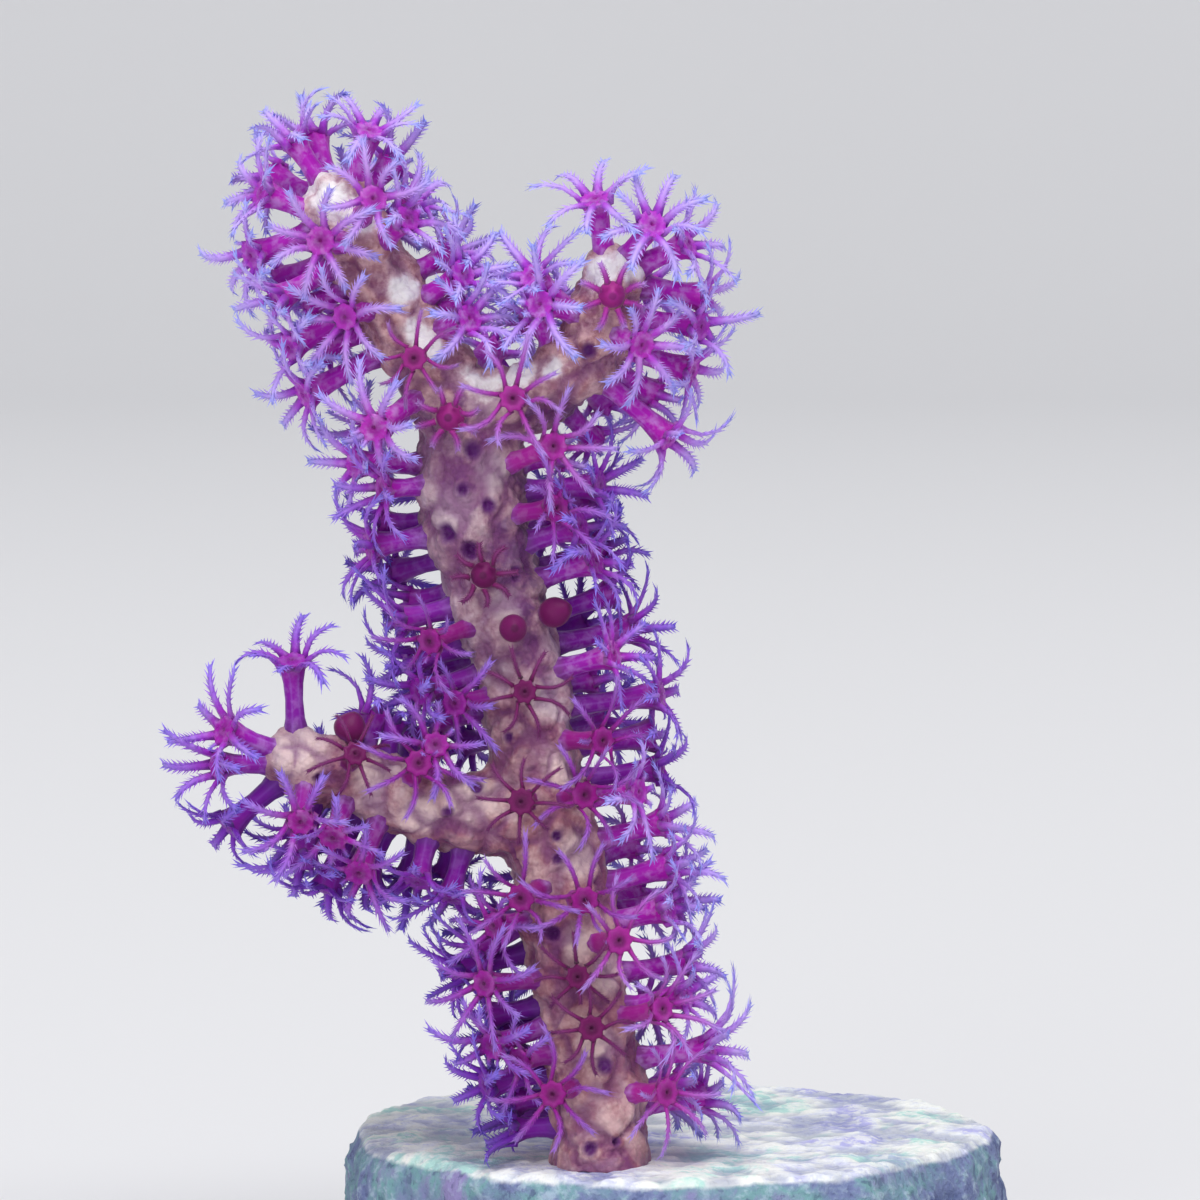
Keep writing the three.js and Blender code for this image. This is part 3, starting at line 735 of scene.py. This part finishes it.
def arm_shape():
    """One arm, straight along X from 0 to 1, with its width and thickness in millimetres."""
    bm = bmesh.new()
    turned = Matrix.Rotation(math.pi / 2, 4, "Y")
    frames = [
        Matrix.Translation((x, 0, 0)) @ Matrix.Diagonal((1, wide, thick, 1)) @ turned
        for x, wide, thick in ARM_SPINE
    ]
    draw_out(bm, frames, 4)
    for row in range(BARB_PAIRS):
        share = row / (BARB_PAIRS - 1)
        length = 0.3 + 0.22 * math.sin(math.pi * (0.12 + 0.66 * share))
        lean = math.radians(36 + 26 * share)
        for hand in (-1, 1):
            aim = Vector((math.sin(lean), hand * math.cos(lean), 0.25 if row % 2 else -0.1))
            barb = Matrix.Diagonal((1 / ARM_LENGTH, 1, 1, 1))
            barb @= Matrix.Translation((ARM_LENGTH * (0.12 + 0.83 * share), hand * 0.06, 0))
            barb @= aim.to_track_quat("Y", "Z").to_matrix().to_4x4()
            barb @= Matrix.Rotation((-0.6, 0.1, 0.8)[row % 3], 4, "Y")
            barb @= Matrix.Diagonal((0.075, length / 1.5, 1, 1)) @ Matrix.Translation((0, 0.5, 0))
            bmesh.ops.create_circle(bm, cap_ends=True, segments=3, radius=1, matrix=barb)
    return shape_of(bm)


ARM = arm_shape()


def lay_tube(polyp, shape):
    """A copy of a polyp's body, stood on the rind, with the marks that its material reads."""
    points, faces = shape
    x, y, z = points.T
    tall = max(polyp.reach, 0.9)
    height = np.where(z < 1, z * tall, tall + z - 1)
    slim = 0.8 if polyp.state in ("flat", "short") else 1 - 0.15 * polyp.front_shade
    slim += 0.12 * (scatter(polyp.number, 51) - 0.5)
    c, s = slim * math.cos(polyp.turn), slim * math.sin(polyp.turn)
    placed = polyp.root + np.outer(x * c - y * s, polyp.up) + np.outer(x * s + y * c, polyp.across)
    placed = polyp.nod(placed + np.outer(height, polyp.axis), np.clip(z * 2.2 - 1.2, 0, 1))
    mouth = np.clip(1 - np.hypot(x, y) / 0.62, 0, 1) * (z > 0.95)
    rib = 0.5 + 0.5 * np.cos(ARM_COUNT * np.arctan2(y, x))
    return placed, faces, z.clip(0, 1) - 1, mouth, rib


def lay_arm(polyp, k, arm):
    """A copy of the arm, bent along its own curve from the crown to its tip, with the same marks."""
    points, faces = ARM
    start, end = polyp.arm_ends(*arm)
    if polyp.state == "flat":
        end = start + FLAT_ARM_SHARE * (end - start)
    u = points[:, :1]
    chord = end - start
    length = np.linalg.norm(chord)
    across = unit(np.cross(polyp.axis, chord))
    rise = np.cross(chord / length, across)
    arch = length * (0.2 * scatter(polyp.number, k + 60) + 0.02)
    loose = 0.16 + 0.18 * max(polyp.front_shade, polyp.state in ("flat", "short"))
    sway = length * loose * (scatter(polyp.number, k + 70) - 0.5)
    curl = length * 0.12 * (scatter(polyp.number, k + 80) - 0.4)
    bent = chord * u + rise * (4 * arch * u * (1 - u) - curl * u**6) + across * sway * np.sin(math.pi * u)
    slope = 4 * arch * (1 - 2 * u) - 6 * curl * u**5
    course = unit(chord + rise * slope + across * sway * math.pi * np.cos(math.pi * u))
    over = unit(np.cross(course, across))
    slender = min(1, 0.55 + 0.5 * length / ARM_LENGTH) * (1 - 0.5 * polyp.front_shade)
    thin = {"flat": 0.42, "short": 0.6}.get(polyp.state, slender)
    placed = polyp.nod(start + bent + across * points[:, 1:2] * thin + over * points[:, 2:] * thin, 1)
    return placed, faces, points[:, 0].clip(0, 1), np.zeros(len(points)), np.full(len(points), 0.5)


def joined(name, parts, tints):
    """Many small copies as one mesh, with each point's reach, mouth and rib, and its polyp's closing, painted
    shade and painted light.
    """
    places, faces, reaches, mouths, ribs = zip(*parts)
    starts = np.cumsum([0] + [len(p) for p in places])
    faces = np.vstack([f + s for f, s in zip(faces, starts)])
    mesh = bpy.data.meshes.new(name)
    mesh.vertices.add(starts[-1])
    mesh.vertices.foreach_set("co", (np.vstack(places) * MM).astype(np.float32).ravel())
    mesh.loops.add(faces.size)
    mesh.loops.foreach_set("vertex_index", faces.ravel().astype(np.int32))
    mesh.polygons.add(len(faces))
    mesh.polygons.foreach_set("loop_start", np.arange(0, faces.size, 3, dtype=np.int32))
    mesh.update(calc_edges=True)
    mark(mesh, "outward", np.concatenate(reaches))
    mark(mesh, "mouth", np.concatenate(mouths))
    mark(mesh, "rib", np.concatenate(ribs))
    for tint, shares in zip(("shut", "front_shade", "dusk", "lit"), zip(*tints)):
        mark(mesh, tint, np.repeat(shares, [len(p) for p in places]))
    return mesh


flesh = Finish("polyp_flesh", Sheen_Weight=0.1, Specular_IOR_Level=0.25)
at = flesh.place()
# Along a tube, outward runs from -1 at the rind to 0 at the crown, and along an arm from 0 to 1 at its tip.
# The other four say how far a polyp is closed, how much painted shade darkens its front, how shaded it is,
# and how much painted light it takes.
outward, mouth, rib = (flesh.painted(name) for name in ("outward", "mouth", "rib"))
shut, front_shade, dusk, lit = (flesh.painted(name) for name in ("shut", "front_shade", "dusk", "lit"))
mottle = flesh.noise(at, 0.45 * MM, 3)
# Darker at the rind: partly the tube blending into the rind, partly painted shade at its foot.
tube_tone = flesh.ramp(
    outward + 1 + (mottle - 0.5) * 0.2,
    (0.0, (0.25, 0.05, 0.25)),
    (0.15, (0.35, 0.01, 0.40)),
    (0.5, (0.44, 0.001, 0.48)),
    (0.95, (0.54, 0.001, 0.43)),
)
tube_tone = flesh.mix(flesh.step(rib, 0.5, 1.0) * 0.4, tube_tone, (0.52, 0.16, 0.76))
tube_tone = flesh.mix(dusk * 0.7, tube_tone, (0.10, 0.002, 0.29))
arm_tone = flesh.ramp(
    outward,
    (0.0, (0.56, 0.003, 0.44)),
    (0.14, (0.50, 0.04, 0.60)),
    (0.35, (0.45, 0.15, 0.78)),
    (0.75, (0.39, 0.20, 0.86)),
    (1.0, (0.29, 0.23, 0.90)),
)
arm_tone = flesh.mix(dusk * (0.85 - outward * 0.45), arm_tone, (0.11, 0.02, 0.44))
grown = flesh.step(outward, -1.1, -0.8)
# Painted light: paler lavender arms and brighter tubes on the upper part and on the lit lower right side.
lit_arm_tone = flesh.ramp(
    outward,
    (0.08, (0.44, 0.07, 0.72)),
    (0.3, (0.58, 0.36, 0.94)),
    (0.75, (0.60, 0.50, 1.0)),
    (1.0, (0.36, 0.46, 1.0)),
)
arm_tone = flesh.mix(lit * 0.75, arm_tone, lit_arm_tone)
tube_tone = flesh.mix(lit * grown * 0.6, tube_tone, (0.52, 0.004, 0.50))
tone = flesh.mix(flesh.step(outward, -0.03, 0.03), tube_tone, arm_tone)
# Painted highlights: pale lavender flecks, fewer under painted shade.
tone = flesh.mix(flesh.step(mottle, 0.42, 0.72) * (0.42 - dusk * 0.4), tone, (0.74, 0.56, 0.98))
# Shaded and lit copies of the crown's colour: painted shade where a crown faces the viewer, and painted light
# where it is lit.
shaded_front_tone = flesh.ramp(
    outward * 0.5 + 0.5,
    (0.45, (0.27, 0.0, 0.17)),
    (0.56, (0.24, 0.0, 0.22)),
    (0.75, (0.27, 0.03, 0.36)),
    (1.0, (0.36, 0.16, 0.60)),
)
lit_tone = flesh.ramp(
    outward * 0.5 + 0.5,
    (0.45, (0.45, 0.02, 0.28)),
    (0.58, (0.45, 0.03, 0.38)),
    (0.8, (0.50, 0.10, 0.56)),
    (1.0, (0.54, 0.33, 0.82)),
)
closed_tone = flesh.mix(flesh.step(outward, -0.03, 0.5), (0.15, 0.0, 0.09), (0.17, 0.02, 0.13))
tone = flesh.mix(front_shade * grown * 0.9, tone, flesh.mix(lit * 0.8, shaded_front_tone, lit_tone))
tone = flesh.mix(shut * (grown * 0.6 + 0.4), tone, flesh.mix(lit * 0.8, closed_tone, lit_tone))
# The dark mouth, made darker by painted shade where a crown faces the viewer.
flesh.drive(
    Base_Color=flesh.mix(flesh.step(mouth, 0.0, 0.95) * (front_shade * 0.4 + 0.4), tone, (0.06, 0.0, 0.04)),
    Roughness=mottle * 0.3 + 0.4,
    Normal=flesh.bump(mottle, 0.06 * MM, 0.6),
)

for stretch, (name, _, _) in enumerate(STRETCHES):
    parts, tints = [], []
    for polyp in (p for p in polyps if p.stretch == stretch and p.state != "dot"):
        height = polyp.root[2]
        # Each polyp's painted shade and painted light: dark sums painted shade with some darkness at random.
        shade = 0.6 if height < UPPER_PART else 0.15
        if polyp.axis[0] > 0.3:  # on the right, and brightest low down
            shade *= 0.3 if height < 26 else 0.85
        elif height < 28:
            shade = 0.85
        closed = polyp.state in ("flat", "bud", "short")
        dark = min(1, (1 - max(0, -polyp.axis[1])) * shade + 0.4 * scatter(polyp.number, 90) ** 2)
        light = min(1, max(0, (height - UPPER_PART) / 8, 0.7 * (shade < 0.3)))
        parts.append(lay_tube(polyp, BUD if polyp.state in ("bud", "short") else TUBE))
        parts += [lay_arm(polyp, k, arm) for k, arm in enumerate(polyp.arms)]
        tints += [(closed, polyp.front_shade, dark, light)] * (1 + len(polyp.arms))
    mesh = joined(name + "_polyps", parts, tints)
    finished(name + "_polyps", mesh, flesh.material, "polyp_flesh", name)

# Rind
# The rind rises in a low mound round each polyp, and its surface is pebbled by the chalky grains within it.
# It is salmon low down, greyer over the middle, tan at the top, and nearly white where it is growing, with
# painted highlights on it and painted shade in its creases and round the polyps.

GROWING_AND_HIGHLIT = (  # where the rind is new and white, and where highlights are painted: across, towards the back, over the stone, and its reach
    (-16.9, -10.5, 47.3, 1.5),
    (-17.2, -8.0, 47.8, 1.5),
    (-2.4, -9.0, 44.2, 1.3),
    (-15.0, -10.6, 46.4, 1.2),
    (-13.0, -10.4, 42.7, 0.9),
    (-12.3, -10.8, 40.6, 0.8),
    (-3.5, -11.6, 43.7, 1.1),
    (-1.9, -11.4, 44.1, 1.1),
    (-9.0, -11.5, 38.7, 1.2),
    (-7.6, -11.3, 38.8, 1.0),
    (-11.8, -10.9, 39.9, 0.8),
    (-5.8, -11.3, 38.9, 0.6),
)
CREAM_HIGHLIGHTS = (  # where cream highlights are painted
    (-18.1, -12.7, 20.5, 1.8),
    (-14.5, -12.5, 19.3, 1.0),
    (-12.2, -12.4, 17.2, 1.2),
    (-9.8, -12.4, 18.2, 1.6),
    (-5.1, -12.3, 19.5, 1.2),
    (-4.4, -12.3, 15.3, 1.3),
    (-4.5, -12.6, 11.0, 1.0),
    (-3.1, -12.4, 9.3, 1.0),
    (-3.5, -13.2, 6.1, 1.1),
    (-6.0, -12.1, 22.8, 1.1),
    (-10.7, -11.8, 32.0, 1.5),
    (-8.5, -12.0, 34.0, 1.2),
    (-8.0, -11.9, 27.5, 1.0),
    (-9.0, -11.9, 37.4, 1.2),
)
SMALL_DOT, SMALL_DOT_SHARE = 2, 1.9  # the number of the smallest dot, and how much narrower it is drawn
SEAM_SEED = 1  # noise_vector takes its offsets from the clock unless it is given a seed

points = points_of(rind) / MM
out = normals_of(rind)
samples = [(stem, s) for stem in (leader, upper_right, lower_left) for s in np.arange(0, stem.length, 0.25)]
middles = np.array([stem.at(s)[0] for stem, s in samples])
nearest = np.array([np.argmin(((middles - p) ** 2).sum(1)) for p in points])
facing = [stem.at(s) for stem, s in samples]
away = points - middles[nearest]
fronts = np.array([f[2] for f in facing])[nearest]
rights = np.array([f[3] for f in facing])[nearest]
turn = np.arctan2((away * rights).sum(1), (away * fronts).sum(1))
along = np.array([s for _, s in samples])[nearest]
swell = 0.6 * np.sin(along * 1.9 + 2 * np.sin(turn)) * np.cos(2 * turn + along * 0.7)
swell += 0.4 * np.sin(3 * turn - along * 2.3)
mounds, spots = np.zeros(len(points)), np.full(len(points), 9.0)
for polyp in polyps:
    gap = np.linalg.norm(points - polyp.root, axis=1)
    if polyp.state == "dot":
        narrower = SMALL_DOT_SHARE if polyp.number == SMALL_DOT else 0.85 + 0.7 * scatter(polyp.number, 77)
        spots = np.minimum(spots, gap * narrower)
    else:
        mounds = np.maximum(mounds, np.exp(-((gap / 0.95) ** 2)))
pebble = np.array(
    [[noise.noise(Vector(p) * 1.1), noise.noise(Vector(p) * 2.6 + Vector((5, 1, 2)))] for p in points]
)
noise.seed_set(SEAM_SEED)
scales = [noise.voronoi(Vector(p) * 0.52 + noise.noise_vector(Vector(p) * 0.5) * 0.4)[0][:2] for p in points]
seam = np.clip(1 - np.diff(scales).ravel() / 0.42, 0, 1) * (1 - mounds)  # 1 between two scales of the rind
lift = SWELL * swell - 0.3 * seam**1.4 + 0.2 * mounds + 0.16 * pebble[:, 0] + 0.1 * pebble[:, 1] - 0.1
lift += 0.16 * np.exp(-(((spots - 0.5) / 0.2) ** 2)) - 0.22 * np.exp(-((spots / 0.3) ** 2))
low = points[:, 2] < STONE_HEIGHT + 0.6
put_points(rind, (points + out * np.where(low, lift * 0.4, lift)[:, None]) * MM)


def patch(points, spots):
    """1 in the middle of the nearest spot, fading to 0 round it."""
    share = np.zeros(len(points))
    for x, y, h, size in spots:
        gap = np.linalg.norm(points - (x, y, h + STONE_HEIGHT), axis=1)
        share = np.maximum(share, np.exp(-((gap / size) ** 2)))
    return share


mark(rind, "growth_and_highlight", patch(points, GROWING_AND_HIGHLIT))
mark(rind, "cream_highlight", patch(points, CREAM_HIGHLIGHTS))
mark(rind, "mound", mounds)
mark(rind, "seam", seam)
mark(rind, "crease", np.clip(0.5 - lift * 1.8, 0, 1))
mark(rind, "spot", np.clip((0.58 - spots) / 0.3, 0, 1))

skin = Finish("coral_rind", Sheen_Weight=0.1, Specular_IOR_Level=0.3)
at = skin.place()
growth_and_highlight, cream_highlight, mound = (skin.painted(name) for name in ("growth_and_highlight", "cream_highlight", "mound"))
seam, crease, spot = (skin.painted(name) for name in ("seam", "crease", "spot"))
height = skin.node("SeparateXYZ", {}, {"Vector": at}, "Z")
blotch = skin.noise(at, 3.0 * MM, 4, 0.6, 0.5)
grain = skin.noise(at, 0.8 * MM, 4, 0.65)
chalk = skin.cells(at, 0.34 * MM)
grey = skin.ramp(
    blotch * 0.7 + grain * 0.3,
    (0.4, (0.16, 0.05, 0.17)),
    (0.46, (0.30, 0.14, 0.23)),
    (0.52, (0.46, 0.28, 0.34)),
    (0.6, (0.66, 0.50, 0.56)),
)
salmon = skin.ramp(
    blotch * 0.7 + grain * 0.3,
    (0.4, (0.20, 0.05, 0.13)),
    (0.46, (0.34, 0.12, 0.18)),
    (0.52, (0.47, 0.22, 0.25)),
    (0.6, (0.70, 0.46, 0.46)),
)
lower = skin.step(height + (blotch - 0.5) * 20 * MM, 33 * MM, 25 * MM)
upper = skin.step(height + (blotch - 0.5) * 12 * MM, 42.5 * MM, 48 * MM)
tan = skin.mix(skin.step(grain, 0.4, 0.62), (0.42, 0.16, 0.17), (0.82, 0.52, 0.47))
tone = skin.mix(lower, grey, salmon)
tone = skin.mix(upper * 0.8, tone, tan)
cream = skin.mix(lower, (0.54, 0.42, 0.46), (0.88, 0.68, 0.64))
# Painted highlights: cream patches on the fronts of the stems.
tone = skin.mix(skin.step(cream_highlight + (blotch - 0.5) * 0.9 + (grain - 0.5) * 0.5, 0.15, 0.75) * 0.85, tone, cream)
tone = skin.mix(skin.step(seam, 0.35, 0.0) * 0.2, tone, cream)
tone = skin.mix(skin.step(seam + (grain - 0.5) * 0.6, 0.35, 1.0) * 0.55, tone, (0.20, 0.03, 0.16))
# Painted shade in the creases of the rind.
tone = skin.mix(skin.step(crease, 0.55, 0.95) * 0.4, tone, (0.17, 0.04, 0.20))
# Darker purple round each polyp's foot: the calyx's own tint, and painted shade under its crown.
tone = skin.mix(skin.step(mound, 0.6, 1.0) * 0.7, tone, (0.24, 0.03, 0.28))
# White where the rind is growing, and painted highlights on the tips and the fork.
tone = skin.mix(skin.step(growth_and_highlight + (grain - 0.5) * 0.5, 0.12, 0.5) * 0.7, tone, (0.80, 0.60, 0.62))
tone = skin.mix(skin.step(growth_and_highlight + (grain - 0.5) * 0.9, 0.3, 0.65), tone, (0.97, 0.96, 0.93))
tone = skin.mix(spot, tone, (0.10, 0.004, 0.15))
chalky = skin.step(chalk, 0.1, 0.5) * (0.35 - growth_and_highlight * 0.3) * (1 - cream_highlight * 0.7)
skin.drive(
    Base_Color=skin.mix(chalky, tone, (0.72, 0.54, 0.60), "MULTIPLY"),
    Roughness=grain * 0.3 + 0.35,
    Normal=skin.bump(grain * 0.8 - chalk * 0.5, 0.2 * MM, 0.9),
)
finished("coral_rind", rind, skin.material, "stem_flesh")

# Floor, light and camera
# A plain pale paper sweep, a broad soft light overhead, and a weaker one from the front.
# The camera looks from a little above, at the height of the coral's middle.

SWEEP_FRONT, SWEEP_START, SWEEP_TOP = -1.5, 1.2, 3.0  # metres: near edge, start of the bend, top edge
SWEEP_BEND = 0.8
SWEEP_HALF_WIDTH = 2.5

bm = bmesh.new()
edge = [bm.edges.new([bm.verts.new((x, SWEEP_FRONT, 0)) for x in (-SWEEP_HALF_WIDTH, SWEEP_HALF_WIDTH)])]
path = [(SWEEP_START, 0)]
for a in np.radians(range(10, 91, 10)):
    path.append((SWEEP_START + SWEEP_BEND * math.sin(a), SWEEP_BEND - SWEEP_BEND * math.cos(a)))
path.append((SWEEP_START + SWEEP_BEND, SWEEP_TOP))
before = (SWEEP_FRONT, 0)
for y, z in path:
    grown = bmesh.ops.extrude_edge_only(bm, edges=edge)["geom"]
    verts = [part for part in grown if isinstance(part, bmesh.types.BMVert)]
    edge = [e for e in bm.edges if set(e.verts) == set(verts)]
    bmesh.ops.translate(bm, verts=verts, vec=(0, y - before[0], z - before[1]))
    before = (y, z)
bmesh.ops.recalc_face_normals(bm, faces=bm.faces)
sweep = bpy.data.meshes.new("studio_sweep")
bm.to_mesh(sweep)
bm.free()
sweep.polygons.foreach_set("use_smooth", np.ones(len(sweep.polygons), bool))
paper = Finish("studio_paper", Base_Color=(0.80, 0.80, 0.81, 1), Roughness=0.9)
sweep.materials.append(paper.material)
floor = bpy.data.objects.new("studio_sweep", sweep)
bpy.context.scene.collection.objects.link(floor)


def softbox(name, power, size, place, aim):
    """A square soft light that faces a point."""
    lamp = bpy.data.lights.new(name, "AREA")
    lamp.energy, lamp.size = power, size
    light = bpy.data.objects.new(name, lamp)
    light.location = place
    light.rotation_euler = (Vector(aim) - Vector(place)).to_track_quat("-Z", "Y").to_euler()
    bpy.context.scene.collection.objects.link(light)


softbox("overhead", 44.0, 1.4, (0.3, -1.0, 2.3), (0, 0, 0.03))
softbox("front_fill", 12.0, 1.2, (-0.9, -1.8, 0.5), (0, 0, 0.03))
world = bpy.data.worlds.new("studio")
world.use_nodes = True
air = world.node_tree
# Background lights the coral, and Backdrop stands behind it.
for strength, name in ((0.4, "Background"), (0.72, "Backdrop")):
    glow = air.nodes["Background"] if name == "Background" else air.nodes.new("ShaderNodeBackground")
    glow.name = name
    glow.inputs["Color"].default_value = (0.93, 0.94, 1.0, 1)
    glow.inputs["Strength"].default_value = strength
blend = air.nodes.new("ShaderNodeMixShader")
air.links.new(air.nodes.new("ShaderNodeLightPath").outputs["Is Camera Ray"], blend.inputs["Fac"])
air.links.new(air.nodes["Background"].outputs[0], blend.inputs[1])
air.links.new(air.nodes["Backdrop"].outputs[0], blend.inputs[2])
air.links.new(blend.outputs[0], air.nodes["World Output"].inputs["Surface"])
bpy.context.scene.world = world
bpy.context.scene.view_settings.view_transform = "Standard"

AIM = Vector((-3.46, -10.5, 35.56)) * MM
VIEW_HEIGHT = math.radians(4)
VIEW_DISTANCE = 300 * MM
PIXELS_PER_MM = 20.5  # at the coral, on the photograph's width
PHOTO_WIDTH = 1200
lens = bpy.data.cameras.new("camera")
lens.sensor_width = 36
lens.lens = lens.sensor_width * PIXELS_PER_MM * VIEW_DISTANCE / MM / PHOTO_WIDTH
lens.clip_start = 0.01
lens.clip_end = 20
camera = bpy.data.objects.new("camera", lens)
back = Vector((0, -math.cos(VIEW_HEIGHT), math.sin(VIEW_HEIGHT)))
camera.location = AIM + back * VIEW_DISTANCE
camera.rotation_euler = (-back).to_track_quat("-Z", "Y").to_euler()
bpy.context.scene.collection.objects.link(camera)
bpy.context.scene.camera = camera
